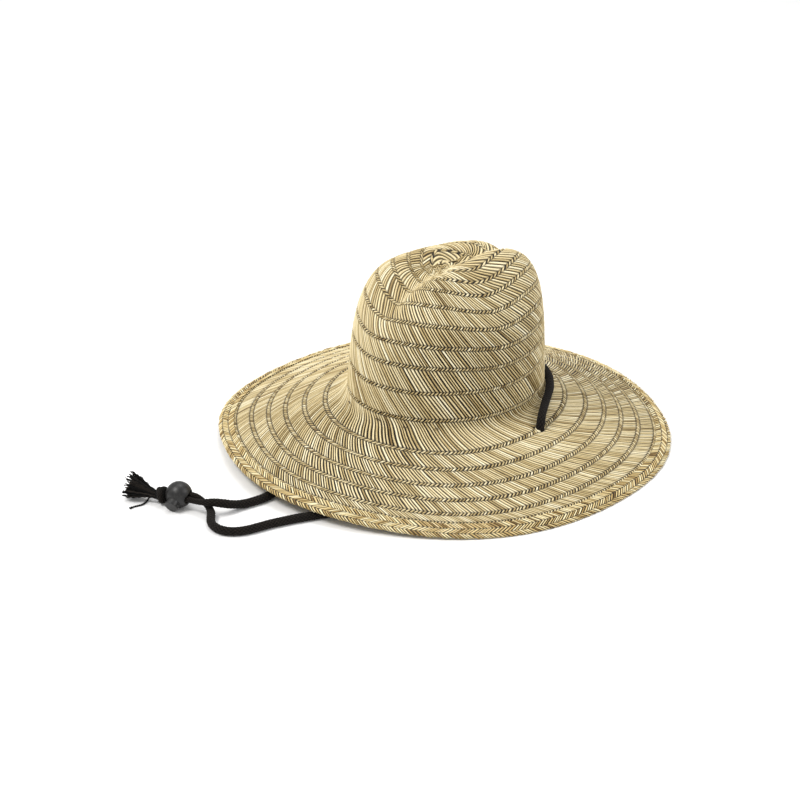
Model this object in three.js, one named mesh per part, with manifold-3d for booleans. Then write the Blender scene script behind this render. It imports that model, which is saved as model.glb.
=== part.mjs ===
// A woven straw sun hat: creased crown, sloping brim, plaited rim, sweatband and a braided
// chin cord with a ball cord lock. Millimetres, +Z up, front of the hat towards -Y, the
// wearer's left towards +X. The origin is on the surface that the rim stands on, under the
// middle of the crown.
import * as THREE from "three";
import { mergeVertices } from "three/addons/utils/BufferGeometryUtils.js";
import Module from "manifold-3d";

// ---------- driving dimensions ----------
const CROWN = {
  halfLength: 101.5, // outside, at the foot of the crown
  halfWidth: 90,
  height: 147.5, // above the foot, before the creases are pressed in
  frontPower: 3.7, // roundness of the shoulder: 2 is an ellipse, more is squarer
  backPower: 4.9,
  taper: 0.05, // narrowing from foot to top
  frontTaper: 0.05,
  frontFall: 14, // how far the top drops towards the front
  backFall: 5,
  twist: 5.5, // the left lobe stands higher behind, the right one in front
  crease: 16, // depth of the centre crease
  creaseWidth: 16,
  dent: 24, // how far each side is pressed in at the top
  dentY: 3,
  dentLength: 44,
};
const BRIM = {
  halfLength: 226, // to the outer edge of the rim
  halfWidth: 219,
  ripple: 1.5, // waviness of the outline
  ripples: 6,
  ripplePhase: 38, // degrees
  rise: 45, // from the surface it stands on to the foot of the crown
  lift: 11, // the front edge is flexed up
  liftAt: -95, // degrees
  liftSpan: 44,
};
const STRAW = 2.2; // thickness of the weave
const RIM = { start: 0.862, thickness: 3.4, flatIn: 9, flatOut: 2 };
const GAP = 0.3; // between pieces that touch
const BAND = { thickness: 1.6, low: 2, high: 32 };
const THREAD = { width: 0.9, height: 1.0, low: 3.2 };
const CORD = { radius: 4.2, sides: 8, pinched: 2.8, swellFrom: 33, swellTo: 57 };
const HOLE = { azimuth: 13, radius: 114, bore: 4.9 };
const LOCK = {
  centre: new THREE.Vector3(-28.6, -295.8, 12.55),
  heading: 24, // degrees, the way the cords leave it towards the hat
  tilt: 23, // degrees, how far the button points below level
  ball: 12.5,
  bore: 6.8,
  boreFloor: -9.6,
  pocket: 3.6,
  pocketFloor: -11.4,
  strand: 2.95, // each cord's offset from the middle of the hole
};
const PLUNGER = { radius: 6.5, bottom: -7.2, top: 16.2, travel: 2.2 };
const SPRING = { radius: 2.9, wire: 0.2, turns: 3, low: -11.0, high: -7.55 };
const KNOT = { centre: new THREE.Vector3(-42.6, -305.1, 9), length: 8.6, radius: 8.4, endRadius: 5 };
const TASSEL = {
  neck: new THREE.Vector3(-47.6, -308.6, 8.1),
  tip: new THREE.Vector3(-73, -324.5, 14.2),
  neckRadius: 4,
  radius: 13,
};
const AROUND = 64; // steps round the crown and brim

const radians = THREE.MathUtils.degToRad;

// ---------- the hat's surface ----------
function smooth(from, to, value) {
  const q = THREE.MathUtils.clamp((value - from) / (to - from), 0, 1);
  return q * q * (3 - 2 * q);
}

function oval(halfLength, halfWidth, angle) {
  const across = halfLength * Math.cos(angle);
  const along = halfWidth * Math.sin(angle);
  return (halfLength * halfWidth) / Math.hypot(across, along);
}

function footRadius(angle) {
  return oval(CROWN.halfLength, CROWN.halfWidth, angle);
}

function rimRadius(angle) {
  const wave = BRIM.ripple * Math.cos(BRIM.ripples * (angle - radians(BRIM.ripplePhase)));
  return oval(BRIM.halfLength, BRIM.halfWidth, angle) + wave;
}

function rimLift(angle) {
  const degrees = THREE.MathUtils.radToDeg(angle) - BRIM.liftAt;
  const away = Math.abs(THREE.MathUtils.euclideanModulo(degrees + 180, 360) - 180);
  return BRIM.lift * Math.exp(-((away / BRIM.liftSpan) ** 3));
}

// Underside of the brim: f is 0 at the crown's foot and 1 at the outer edge.
function brimPoint(angle, f, above) {
  const foot = footRadius(angle);
  const radius = foot + f * (rimRadius(angle) - foot);
  const height = BRIM.rise + (rimLift(angle) - BRIM.rise) * f;
  return new THREE.Vector3(radius * Math.cos(angle), radius * Math.sin(angle), height + above);
}

// The creases that are pressed into the plain block of the crown.
function press(point) {
  const up = point.z / CROWN.height;
  const side = Math.sign(point.x);
  const { x, y } = point;
  let z = point.z;
  z -= CROWN.frontFall * smooth(0.5, 1, up) * smooth(-10, -95, y);
  z -= CROWN.backFall * smooth(0.55, 1, up) * smooth(20, 95, y);
  const lean = THREE.MathUtils.clamp(y / 50, -1, 1) * THREE.MathUtils.clamp(x / 40, -1, 1);
  z += CROWN.twist * smooth(0.5, 1, up) * lean;
  const reach = Math.exp(-(Math.abs((y - CROWN.dentY) / CROWN.dentLength) ** 3));
  const push = CROWN.dent * reach * smooth(0.45, 1, up) * smooth(0, 35, Math.abs(x));
  const pressedX = x - side * Math.min(Math.abs(x), push);
  const valley = Math.exp(-((pressedX / CROWN.creaseWidth) ** 2)) * smooth(0.6, 0.97, up);
  const shallower = 1 - 0.3 * smooth(30, 80, y);
  const deeper = 1 + 0.2 * Math.exp(-(((y + 35) / 25) ** 2));
  z -= CROWN.crease * valley * shallower * deeper;
  return new THREE.Vector3(pressedX, y, z);
}

function backness(angle) {
  return (1 + Math.sin(angle)) / 2;
}

function shoulderPower(angle) {
  return CROWN.frontPower + (CROWN.backPower - CROWN.frontPower) * backness(angle) ** 1.5;
}

function crownTaper(angle, up) {
  return 1 - (CROWN.taper + CROWN.frontTaper * (1 - backness(angle)) ** 2) * up;
}

// q runs from 0 at the foot to 1 at the tip; inset moves the whole surface inwards.
function crownPoint(angle, q, inset) {
  const power = shoulderPower(angle);
  const turn = (q * Math.PI) / 2;
  const size = (Math.cos(turn) ** power + Math.sin(turn) ** power) ** (1 / power);
  const out = Math.cos(turn) / size;
  const up = Math.sin(turn) / size;
  const radius = out * (crownTaper(angle, up) * footRadius(angle) - inset);
  const block = new THREE.Vector3(
    radius * Math.cos(angle),
    radius * Math.sin(angle),
    up * (CROWN.height - inset),
  );
  const pressed = press(block);
  pressed.z += BRIM.rise;
  return pressed;
}

// The crown's wall at a height above its foot, for what lies against it.
function wallPoint(angle, height, inset) {
  const power = shoulderPower(angle);
  const up = height / CROWN.height;
  const out = (1 - up ** power) ** (1 / power);
  const radius = out * (crownTaper(angle, up) * footRadius(angle) - inset);
  return new THREE.Vector3(radius * Math.cos(angle), radius * Math.sin(angle), BRIM.rise + height);
}

// ---------- closed meshes ----------
function angles(count) {
  return Array.from({ length: count }, (_, i) => (2 * Math.PI * i) / count);
}

function indexedGeometry(points, index) {
  const geometry = new THREE.BufferGeometry();
  geometry.setFromPoints(points);
  geometry.setIndex(index);
  geometry.computeVertexNormals();
  return geometry;
}

// rows of points round the hat; each row joins the next, and the last joins the first
// unless the rows run from tip to tip.
function loft(rows, closed, tips = []) {
  const count = rows[0].length;
  const points = rows.flat();
  const index = [];
  const strips = closed ? rows.length : rows.length - 1;
  for (let row = 0; row < strips; row++) {
    const a = row * count;
    const b = ((row + 1) % rows.length) * count;
    for (let i = 0; i < count; i++) {
      const j = (i + 1) % count;
      index.push(a + i, a + j, b + j, a + i, b + j, b + i);
    }
  }
  if (tips.length === 2) {
    const first = points.push(tips[0]) - 1;
    const last = points.push(tips[1]) - 1;
    const end = (rows.length - 1) * count;
    for (let i = 0; i < count; i++) {
      const j = (i + 1) % count;
      index.push(first, j, i, last, end + i, end + j);
    }
  }
  return indexedGeometry(points, index);
}

function toManifold(wasm, geometry) {
  const bare = geometry.clone();
  bare.deleteAttribute("normal");
  bare.deleteAttribute("uv");
  const merged = mergeVertices(bare);
  const mesh = new wasm.Mesh({
    numProp: 3,
    vertProperties: new Float32Array(merged.attributes.position.array),
    triVerts: new Uint32Array(merged.index.array),
  });
  return new wasm.Manifold(mesh);
}

function fromManifold(solid) {
  const mesh = solid.getMesh();
  const geometry = new THREE.BufferGeometry();
  geometry.setAttribute("position", new THREE.BufferAttribute(mesh.vertProperties, 3));
  geometry.setIndex(new THREE.BufferAttribute(mesh.triVerts, 1));
  geometry.computeVertexNormals();
  return geometry;
}

const wasm = await Module();
wasm.setup();

function cut(geometry, ...tools) {
  let solid = toManifold(wasm, geometry);
  for (const tool of tools) solid = solid.subtract(toManifold(wasm, tool));
  return fromManifold(solid);
}

// ---------- straw ----------
function crownGeometry() {
  const foot = STRAW + GAP;
  const levels = [0.1, 0.19, 0.27, 0.34, 0.4, 0.45, 0.49, 0.53, 0.57, 0.62, 0.68, 0.74, 0.81, 0.88, 0.94];
  const round = angles(AROUND);
  const skin = (inset) => [
    round.map((angle) => wallPoint(angle, foot, inset)),
    ...levels.map((q) => round.map((angle) => crownPoint(angle, q, inset))),
  ];
  const tips = [crownPoint(0, 1, STRAW), crownPoint(0, 1, 0)];
  return loft([...skin(STRAW).reverse(), ...skin(0)], false, tips);
}

function brimGeometry() {
  const round = angles(AROUND);
  const steps = [0.02, 0.3, 0.6, RIM.start - 0.004];
  const inside = (above) => round.map((angle) => wallPoint(angle, 0, STRAW).setZ(BRIM.rise + above));
  const skin = (above) => steps.map((f) => round.map((angle) => brimPoint(angle, f, above)));
  const ring = loft([inside(STRAW), inside(0), ...skin(0), ...skin(STRAW).reverse()], true);
  return cut(ring, holeTool(1), holeTool(-1));
}

function holeTool(side) {
  const tool = new THREE.CylinderGeometry(HOLE.bore, HOLE.bore, 40, 20);
  tool.rotateX(Math.PI / 2);
  const angle = radians(HOLE.azimuth);
  const x = side * HOLE.radius * Math.cos(angle);
  tool.translate(x, HOLE.radius * Math.sin(angle), BRIM.rise - 8);
  return tool;
}

function rimGeometry() {
  const round = angles(AROUND);
  const section = (angle) => {
    const out = rimRadius(angle);
    const lift = rimLift(angle);
    const at = (radius, height) =>
      new THREE.Vector3(radius * Math.cos(angle), radius * Math.sin(angle), height);
    const innerLow = brimPoint(angle, RIM.start, 0);
    const innerHigh = brimPoint(angle, RIM.start, STRAW);
    const slope = (BRIM.rise - lift) / (out - footRadius(angle));
    return [
      innerHigh,
      innerLow,
      at(out - RIM.flatIn, lift),
      at(out - RIM.flatOut, lift),
      at(out, lift + RIM.thickness / 2),
      at(out - RIM.flatOut, lift + RIM.thickness),
      at(out - RIM.flatIn, lift + RIM.thickness + slope * (RIM.flatIn - RIM.flatOut)),
    ];
  };
  const sections = round.map(section);
  const rows = sections[0].map((_, k) => sections.map((points) => points[k]));
  return loft(rows, true);
}

// ---------- sweatband ----------
function bandGeometry(low, high, inset, thickness) {
  const round = angles(AROUND);
  const row = (height, depth) => round.map((angle) => wallPoint(angle, height, depth));
  const far = inset + thickness;
  return loft([row(high, inset), row(high, far), row(low, far), row(low, inset)], true);
}

// ---------- chin cord ----------
const CORD_BACK_HALF = [
  [111.1, 25.6, 34], [111.1, 25.6, 38.5], [110.3, 26.8, 43.7], [107.4, 30.3, 47.6], [102.3, 36.1, 49.6],
  [93.8, 46, 50.6], [84.6, 57, 51.5], [75, 68.4, 52], [63.8, 79.6, 52.1], [50.3, 90.2, 51.8],
  [34.6, 98.6, 51.4], [17.8, 104.4, 51.1],
];
const CORD_BACK = [
  ...CORD_BACK_HALF,
  [0, 106.4, 51],
  ...CORD_BACK_HALF.toReversed().map(([x, y, z]) => [-x, y, z]),
];
// Both free stretches run from the knot straight through the lock, as distances from its
// centre, and then through their own points to the hole in the brim.
const THROUGH_LOCK = [-11.6, -1, 10, 16.5];
const CORD_LEFT = [
  [-9.8, -284.1, 11.6], [-4.8, -282.3, 8.6], [0.6, -282.1, 6.1], [6, -284.1, 4.7], [10.9, -287.4, 4.3],
  [16, -291.2, 4.3], [23, -295, 4.3], [31.5, -296.2, 4.3], [39, -294.4, 4.3], [45.2, -289.8, 4.3],
  [50, -282.5, 4.3], [53, -273, 4.3], [54.5, -262.5, 4.3], [56, -252, 4.3], [58.5, -241, 4.3],
  [62, -228, 4.3], [67.5, -211, 4.3], [76, -188, 4.3], [85.5, -161, 4.3], [94, -131, 4.3],
  [102, -99, 4.3], [108, -68, 4.3], [111.5, -40, 4.5], [112.3, -19, 6.4], [112, -3, 12],
  [111.4, 10, 18.5], [111.1, 20, 24.5], [111.1, 25, 29.5], [111.1, 25.6, 33],
];
const CORD_RIGHT = [
  [-5, -289.2, 12.6], [1, -286, 13.8], [5.6, -280.5, 13.8], [8.4, -273, 11.6], [9.6, -264, 8.1],
  [10.3, -255, 5.5], [11, -247, 4.4], [11.8, -239, 4.3], [12, -231, 4.3], [10.8, -222, 4.3],
  [6, -204, 4.3], [-4, -183, 4.3], [-22, -158, 4.3], [-43, -133, 4.3], [-63, -109, 4.3],
  [-81, -84, 4.3], [-95.5, -58, 4.3], [-105, -34, 4.6], [-109.5, -14, 7.7], [-111, 1, 13.5],
  [-111.2, 12, 19.5], [-111.1, 20.5, 25], [-111.1, 25, 29.5], [-111.1, 25.6, 33],
];

function cordCurve(points) {
  const path = points.map((xyz) => new THREE.Vector3(...xyz));
  return new THREE.CatmullRomCurve3(path, false, "centripetal");
}

// radiusAt gives the cord's radius at a distance from its first point.
function cordGeometry(points, steps, radiusAt) {
  const curve = cordCurve(points);
  const outline = angles(CORD.sides).map(
    (angle) => new THREE.Vector2(Math.cos(angle), Math.sin(angle)).multiplyScalar(CORD.radius),
  );
  const tube = new THREE.ExtrudeGeometry(new THREE.Shape(outline), {
    steps,
    extrudePath: curve,
    bevelEnabled: false,
  });
  const middles = curve.getSpacedPoints(steps);
  const step = curve.getLength() / steps;
  const position = tube.attributes.position;
  const vertex = new THREE.Vector3();
  for (let i = 0; i < position.count; i++) {
    vertex.fromBufferAttribute(position, i);
    const gaps = middles.map((middle) => Math.abs(middle.distanceTo(vertex) - CORD.radius));
    const nearest = gaps.indexOf(Math.min(...gaps));
    const middle = middles[nearest];
    vertex.sub(middle).multiplyScalar(radiusAt(nearest * step) / CORD.radius).add(middle);
    position.setXYZ(i, vertex.x, vertex.y, vertex.z);
  }
  return tube;
}

// Pinched where it passes through the lock, and full size a little beyond it.
function freeCordRadius(distance) {
  const swell = smooth(CORD.swellFrom, CORD.swellTo, distance);
  return CORD.pinched + (CORD.radius - CORD.pinched) * swell;
}

// ---------- cord lock, knot and tassel ----------
// The lock's own frame: x along the cords towards the hat, y out through the button.
function lockMatrix() {
  const along = new THREE.Vector3(Math.cos(radians(LOCK.heading)), Math.sin(radians(LOCK.heading)), 0);
  const level = new THREE.Vector3(along.y, -along.x, 0).multiplyScalar(Math.cos(radians(LOCK.tilt)));
  const button = level.setZ(-Math.sin(radians(LOCK.tilt)));
  const third = new THREE.Vector3().crossVectors(along, button);
  return new THREE.Matrix4().makeBasis(along, button, third).setPosition(LOCK.centre);
}

// side is 1 for the strand nearer the button's end and -1 for the other.
function throughLock(side) {
  const place = lockMatrix();
  const strand = THROUGH_LOCK.map((along) => new THREE.Vector3(along, side * LOCK.strand, 0));
  return strand.map((point) => point.applyMatrix4(place).toArray());
}

function barAlongButton(radius, low, high, sides) {
  const bar = new THREE.CylinderGeometry(radius, radius, high - low, sides);
  bar.translate(0, (low + high) / 2, 0);
  return bar;
}

function slotAlongCords(halfWidth, low, high, length) {
  const outline = new THREE.Shape();
  outline.absarc(high - halfWidth, 0, halfWidth, -Math.PI / 2, Math.PI / 2, false);
  outline.absarc(low + halfWidth, 0, halfWidth, Math.PI / 2, (3 * Math.PI) / 2, false);
  const slot = new THREE.ExtrudeGeometry(outline, { depth: length, bevelEnabled: false, curveSegments: 8 });
  slot.translate(0, 0, -length / 2);
  // shape x -> the button's axis, extrusion -> along the cords
  const turn = new THREE.Matrix4().makeBasis(
    new THREE.Vector3(0, 1, 0),
    new THREE.Vector3(0, 0, 1),
    new THREE.Vector3(1, 0, 0),
  );
  return slot.applyMatrix4(turn);
}

const STRAND_REACH = LOCK.strand + CORD.pinched + GAP;

function lockBodyGeometry() {
  const ball = new THREE.SphereGeometry(LOCK.ball, 32, 20);
  const bore = barAlongButton(LOCK.bore, LOCK.boreFloor, 20, 32);
  const pocket = barAlongButton(LOCK.pocket, LOCK.pocketFloor, 0, 24);
  const hole = slotAlongCords(CORD.pinched + GAP, -STRAND_REACH, STRAND_REACH, 40);
  return cut(ball, bore, pocket, hole);
}

function plungerGeometry() {
  const outline = [
    [0, PLUNGER.bottom], [PLUNGER.radius, PLUNGER.bottom], [PLUNGER.radius, PLUNGER.top - 0.9],
    [PLUNGER.radius - 0.9, PLUNGER.top], [0, PLUNGER.top],
  ];
  const bar = new THREE.LatheGeometry(outline.map(([x, y]) => new THREE.Vector2(x, y)), 32);
  const slot = slotAlongCords(CORD.pinched + GAP, -STRAND_REACH, STRAND_REACH + PLUNGER.travel, 40);
  return cut(bar, slot);
}

function springGeometry() {
  const steps = SPRING.turns * 16;
  const pitch = SPRING.high - SPRING.low - 2 * SPRING.wire;
  const helix = Array.from({ length: steps + 1 }, (_, i) => {
    const turn = (2 * Math.PI * i) / 16;
    const height = SPRING.low + SPRING.wire + (pitch * i) / steps;
    return new THREE.Vector3(SPRING.radius * Math.cos(turn), height, SPRING.radius * Math.sin(turn));
  });
  const section = angles(6).map(
    (angle) => new THREE.Vector2(Math.cos(angle), Math.sin(angle)).multiplyScalar(SPRING.wire),
  );
  return new THREE.ExtrudeGeometry(new THREE.Shape(section), {
    steps,
    extrudePath: new THREE.CatmullRomCurve3(helix),
    bevelEnabled: false,
  });
}

// A solid of revolution about the line between two points: profile of [fraction of the way
// along it, radius].
function turned(profile, from, to) {
  const way = new THREE.Vector3().subVectors(to, from);
  const points = profile.map(([q, radius]) => new THREE.Vector2(radius, q * way.length()));
  const lathe = new THREE.LatheGeometry(points, 20);
  const up = new THREE.Vector3(0, 1, 0);
  lathe.applyQuaternion(new THREE.Quaternion().setFromUnitVectors(up, way.normalize()));
  return lathe.translate(from.x, from.y, from.z);
}

function knotGeometry() {
  const { centre, length, radius, endRadius } = KNOT;
  const half = new THREE.Vector3().subVectors(centre, LOCK.centre).setLength(length / 2);
  const steps = 8;
  const profile = [[0, 0]];
  for (let i = 0; i <= steps; i++) {
    const q = i / steps;
    profile.push([q, endRadius + (radius - endRadius) * Math.sin(Math.PI * q) ** 0.7]);
  }
  profile.push([1, 0]);
  return turned(profile, centre.clone().add(half), centre.clone().sub(half));
}

function tasselGeometry() {
  const { neck, tip, neckRadius, radius } = TASSEL;
  const flare = [[0, 0], [0.15, 0.2], [0.35, 0.44], [0.6, 0.75], [0.82, 1], [0.94, 0.9], [1, 0.6]];
  const side = flare.map(([q, share]) => [q, neckRadius + (radius - neckRadius) * share]);
  return turned([[0, 0], ...side, [1, 0]], neck, tip);
}

// ---------- materials ----------
const straw = new THREE.MeshStandardMaterial({ color: 0xc9b283, roughness: 0.62, metalness: 0 });
const plait = new THREE.MeshStandardMaterial({ color: 0xcbac70, roughness: 0.6, metalness: 0 });
const cotton = new THREE.MeshStandardMaterial({ color: 0xb9ab8c, roughness: 0.95, metalness: 0 });
const thread = new THREE.MeshStandardMaterial({ color: 0x6e5c42, roughness: 0.9, metalness: 0 });
const braid = new THREE.MeshStandardMaterial({ color: 0x15120f, roughness: 0.9, metalness: 0 });
const plastic = new THREE.MeshStandardMaterial({ color: 0x3b3a38, roughness: 0.55, metalness: 0 });
const steel = new THREE.MeshStandardMaterial({ color: 0xa6a8aa, roughness: 0.35, metalness: 1 });

// ---------- assembly ----------
const hat = new THREE.Group();

function add(parent, name, geometry, material) {
  const mesh = new THREE.Mesh(geometry, material);
  mesh.name = name;
  parent.add(mesh);
}

const bandInset = STRAW + GAP;
const threadInset = bandInset + BAND.thickness + GAP;
add(hat, "crown", crownGeometry(), straw);
add(hat, "brim", brimGeometry(), straw);
add(hat, "rim_braid", rimGeometry(), plait);
add(hat, "sweatband", bandGeometry(BAND.low, BAND.high, bandInset, BAND.thickness), cotton);
const threadHigh = THREAD.low + THREAD.height;
add(hat, "sweatband_thread", bandGeometry(THREAD.low, threadHigh, threadInset, THREAD.width), thread);
add(hat, "chin_cord_back", cordGeometry(CORD_BACK, 32, () => CORD.radius), braid);
add(hat, "chin_cord_left", cordGeometry([...throughLock(-1), ...CORD_LEFT], 44, freeCordRadius), braid);
add(hat, "chin_cord_right", cordGeometry([...throughLock(1), ...CORD_RIGHT], 40, freeCordRadius), braid);

add(hat, "cord_knot", knotGeometry(), braid);
add(hat, "cord_tassel", tasselGeometry(), braid);

const lock = new THREE.Group();
lock.applyMatrix4(lockMatrix());
hat.add(lock);
add(lock, "lock_body", lockBodyGeometry(), plastic);
add(lock, "lock_plunger", plungerGeometry(), plastic);
add(lock, "lock_spring", springGeometry(), steel);

export default hat;
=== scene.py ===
"""A woven straw sun hat with a braided chin cord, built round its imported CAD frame.

Lengths are written in millimetres, in the row frame: +Z up, the front of the hat towards -Y.
The hat's skin is described by an angle round the hat and a distance along its meridian:
0 at the crown's foot, positive up the crown to its tip, negative out over the brim.
"""
import math

import bmesh
import bpy
import numpy as np
from mathutils import Matrix, Vector


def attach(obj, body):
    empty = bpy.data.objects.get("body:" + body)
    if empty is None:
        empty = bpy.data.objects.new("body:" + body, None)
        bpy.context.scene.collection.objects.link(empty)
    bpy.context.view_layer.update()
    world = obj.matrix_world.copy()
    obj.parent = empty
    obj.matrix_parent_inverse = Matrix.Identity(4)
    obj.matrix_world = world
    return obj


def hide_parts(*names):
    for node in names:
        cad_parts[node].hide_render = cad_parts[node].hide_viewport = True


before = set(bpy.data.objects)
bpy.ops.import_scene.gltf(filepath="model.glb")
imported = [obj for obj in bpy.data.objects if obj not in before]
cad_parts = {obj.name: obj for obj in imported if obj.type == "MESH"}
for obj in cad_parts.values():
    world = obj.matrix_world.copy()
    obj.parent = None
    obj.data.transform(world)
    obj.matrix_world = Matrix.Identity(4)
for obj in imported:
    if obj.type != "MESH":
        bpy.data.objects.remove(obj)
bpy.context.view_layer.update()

MM = 0.001
TURN = 2 * math.pi

# ---------- the hat's dimensions, as in the CAD ----------
FOOT_LENGTH, FOOT_WIDTH = 101.5, 90.0
RIM_LENGTH, RIM_WIDTH = 226.0, 219.0
RIM_RIPPLE, RIM_RIPPLES, RIM_RIPPLE_PHASE = 1.5, 6, 38.0
BRIM_RISE = 45.0
LIFT, LIFT_AT, LIFT_SPAN = 11.0, -95.0, 44.0
CROWN_HEIGHT = 147.5
FRONT_POWER, BACK_POWER = 3.7, 4.9
TAPER, FRONT_TAPER = 0.05, 0.05
FRONT_FALL, BACK_FALL, TWIST = 14.0, 5.0, 5.5
CREASE, CREASE_WIDTH = 16.0, 16.0
DENT, DENT_Y, DENT_LENGTH = 24.0, 3.0, 44.0
STRAW = 2.2

# ---------- the weave ----------
BRIM_REACH = 130.0  # nominal distance from foot to rim along the brim
CROWN_REACH = 240.0  # nominal distance from foot to tip up the crown
RIM_START = 0.875  # where the plait covers the edge of the weave
FOOT_CURVE, FOOT_FLARE = 5.0, 8.0  # how far the bend at the crown's foot reaches up and out
FLARE_AT, FLARE_SPAN = -120.0, 45.0  # it is widest here
PITCH = 3.3  # one strand to the next
CROWN_RINGS = (0.05, 0.185, 0.295, 0.39, 0.485, 0.575, 0.66, 0.735, 0.81, 0.885, 0.955)
BRIM_RINGS = (0.74, 0.61, 0.475, 0.325, 0.165)
RING_TILT, RING_TILT_AT = 0.11, -95.0  # the crown's rows climb towards this side
RING_BULGE, RING_BULGE_AT = 0.05, -45.0  # the brim's rows spread towards this side
RING_WIDTH = 4.0  # a row of short floats
CROWN_SLANT, BRIM_SLANT, RING_SLANT = 33.0, 42.0, 42.0  # degrees from the meridian
ACROSS = np.array([0.0, 0.17, 0.31, 0.5, 0.69, 0.83])  # points across one strand
CREST = np.array([0.0, 0.35, 0.9, 1.0, 0.9, 0.35])  # its rounded top
EDGE = np.array([1.0, 0.94, 0.1, 0.0, 0.1, 0.94])  # how far into the gap each point lies, which sinks it and gives it painted shade
OUTER_ROWS = np.array([0.0, 0.035, 0.09, 0.22, 0.42, 0.6, 0.78, 0.91, 0.965, 1.0])
INNER_ROWS = np.array([0.0, 0.08, 0.5, 0.92, 1.0])
FOLD_ROWS = np.linspace(0, 1, 19)  # both sides, where a strip bends round the crown's foot
SHORT_ROWS = np.array([0.0, 0.25, 0.5, 0.75, 1.0])
STRAND_DEPTH = 0.9  # from a strand's crest down to its sides
OUTER_TUCK, INNER_TUCK = -0.55, -1.3  # where the ends of the strands dive under
STRAND_OFF = 7.31  # keeps one strand's fibres unlike the next one's
# painted highlight: how much paler a strand's crest is, and darker its sides
CREST_HIGHLIGHT = 0.42
TIGHTEST_STRIP = 4.0  # the least radius that a strip's strands are counted round
NARROWEST_CHART = 0.15  # in the bake layout
PARTED_HOLE, PARTED_REACH, PARTED_BELOW = 3.9, 11.0, 60.0  # straw pushed aside by the cord
RIM_STRANDS, RIM_LEAN = 390, 14  # strands round the rim, and points that each strip leans
RIM_ROWS = (0.0, 0.14, 0.38, 0.62, 0.86)
RIM_CHART = TURN * 222, 42  # the plait's length, and the way round its section

# ---------- the cord and its lock ----------
CORD_RADIUS, CORD_PINCHED = 4.2, 2.8
CORD_STEP, CORD_SIDES = 0.55, 48  # the mesh, along a cord and round it
BRAID_STRANDS, CORD_LAY, KNOT_LAY = 8, 3.6, 3.2
LOWEST_FIBRE = 0.1  # above the floor
SWELL_FROM, SWELL_TO = 33, 57  # the cord is full size again this far from the knot
CORD_HOLES = ((111.1, 25.6), (-111.1, 25.6))
CORD_BACK_HALF = [
    (111.1, 25.6, 34), (111.1, 25.6, 38.5), (110.3, 26.8, 43.7), (107.4, 30.3, 47.6),
    (102.3, 36.1, 49.6), (93.8, 46, 50.6), (84.6, 57, 51.5), (75, 68.4, 52), (63.8, 79.6, 52.1),
    (50.3, 90.2, 51.8), (34.6, 98.6, 51.4), (17.8, 104.4, 51.1),
]
CORD_BACK = CORD_BACK_HALF + [(0, 106.4, 51)] + [(-x, y, z) for x, y, z in reversed(CORD_BACK_HALF)]
# The free stretches run from the knot straight through the lock, and then through these
# points to the hole in the brim.
CORD_LEFT = [
    (-9.8, -284.1, 11.6), (-4.8, -282.3, 8.6), (0.6, -282.1, 6.1), (6, -284.1, 4.7),
    (10.9, -287.4, 4.3), (16, -291.2, 4.3), (23, -295, 4.3), (31.5, -296.2, 4.3),
    (39, -294.4, 4.3), (45.2, -289.8, 4.3), (50, -282.5, 4.3), (53, -273, 4.3),
    (54.5, -262.5, 4.3), (56, -252, 4.3), (58.5, -241, 4.3), (62, -228, 4.3), (67.5, -211, 4.3),
    (76, -188, 4.3), (85.5, -161, 4.3), (94, -131, 4.3), (102, -99, 4.3), (108, -68, 4.3),
    (111.5, -40, 4.5), (112.3, -19, 6.4), (112, -3, 12), (111.4, 10, 18.5), (111.1, 20, 24.5),
    (111.1, 25, 29.5), (111.1, 25.6, 33),
]
CORD_RIGHT = [
    (-5, -289.2, 12.6), (1, -286, 13.8), (5.6, -280.5, 13.8), (8.4, -273, 11.6), (9.6, -264, 8.1),
    (10.3, -255, 5.5), (11, -247, 4.4), (11.8, -239, 4.3), (12, -231, 4.3), (10.8, -222, 4.3),
    (6, -204, 4.3), (-4, -183, 4.3), (-22, -158, 4.3), (-43, -133, 4.3), (-63, -109, 4.3),
    (-81, -84, 4.3), (-95.5, -58, 4.3), (-105, -34, 4.6), (-109.5, -14, 7.7), (-111, 1, 13.5),
    (-111.2, 12, 19.5), (-111.1, 20.5, 25), (-111.1, 25, 29.5), (-111.1, 25.6, 33),
]
LOCK_CENTRE = Vector((-28.6, -295.8, 12.55))
LOCK_HEADING, LOCK_TILT = math.radians(24), math.radians(23)
STRAND_OFFSET = 2.95  # from the middle of the lock's hole
THROUGH_LOCK = (-11.6, -1, 10, 16.5)
KNOT_CENTRE = Vector((-42.6, -305.1, 9))
KNOT_CORD = 3.3
KNOT_WRAPS = ((1.1, 13, 4.8), (-1.9, -24, 4.5))  # place along the knot, lean in degrees, radius
TASSEL_NECK, TASSEL_TIP = Vector((-47.6, -308.6, 8.1)), Vector((-73, -324.5, 14.2))
TASSEL_YARNS, TASSEL_ROOT, TASSEL_FAN = 210, 3.4, 9.4
TASSEL_LOW, TASSEL_HIGH = 1.0, 26.5
# The lock's heights are from the ball's middle, along the button.
BALL_RADIUS = 12.5
BORE_RADIUS, BORE_FLOOR = 6.8, -9.6
POCKET_RADIUS, POCKET_FLOOR = 3.6, -11.4
SLOT_HALF_WIDTH, SLOT_REACH = 3.15, 20
FLARE_FROM, FLARE_TO = 8.5, 10.2  # the ball's mouths widen between these, along the cords
BALL_MOUTH, MOUTH_FLARE = (-6.1, 6.1), 1.4
BUTTON_RADIUS, BUTTON_FOOT, BUTTON_TOP, BUTTON_CORNER = 6.5, -7.2, 16.2, 0.7
BUTTON_SLOT = (-6.05, 8.25)
ON_AXIS = 1e-4  # a radius so small that its points are welded into one
EDGE_ROUNDING, SHARP_EDGE = 0.35, 38  # millimetres, and the least angle in degrees

# ---------- the sweatband ----------
STITCHES, STITCH_LINE, STITCH_DEPTH = 92, 3.8, -4.0
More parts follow.
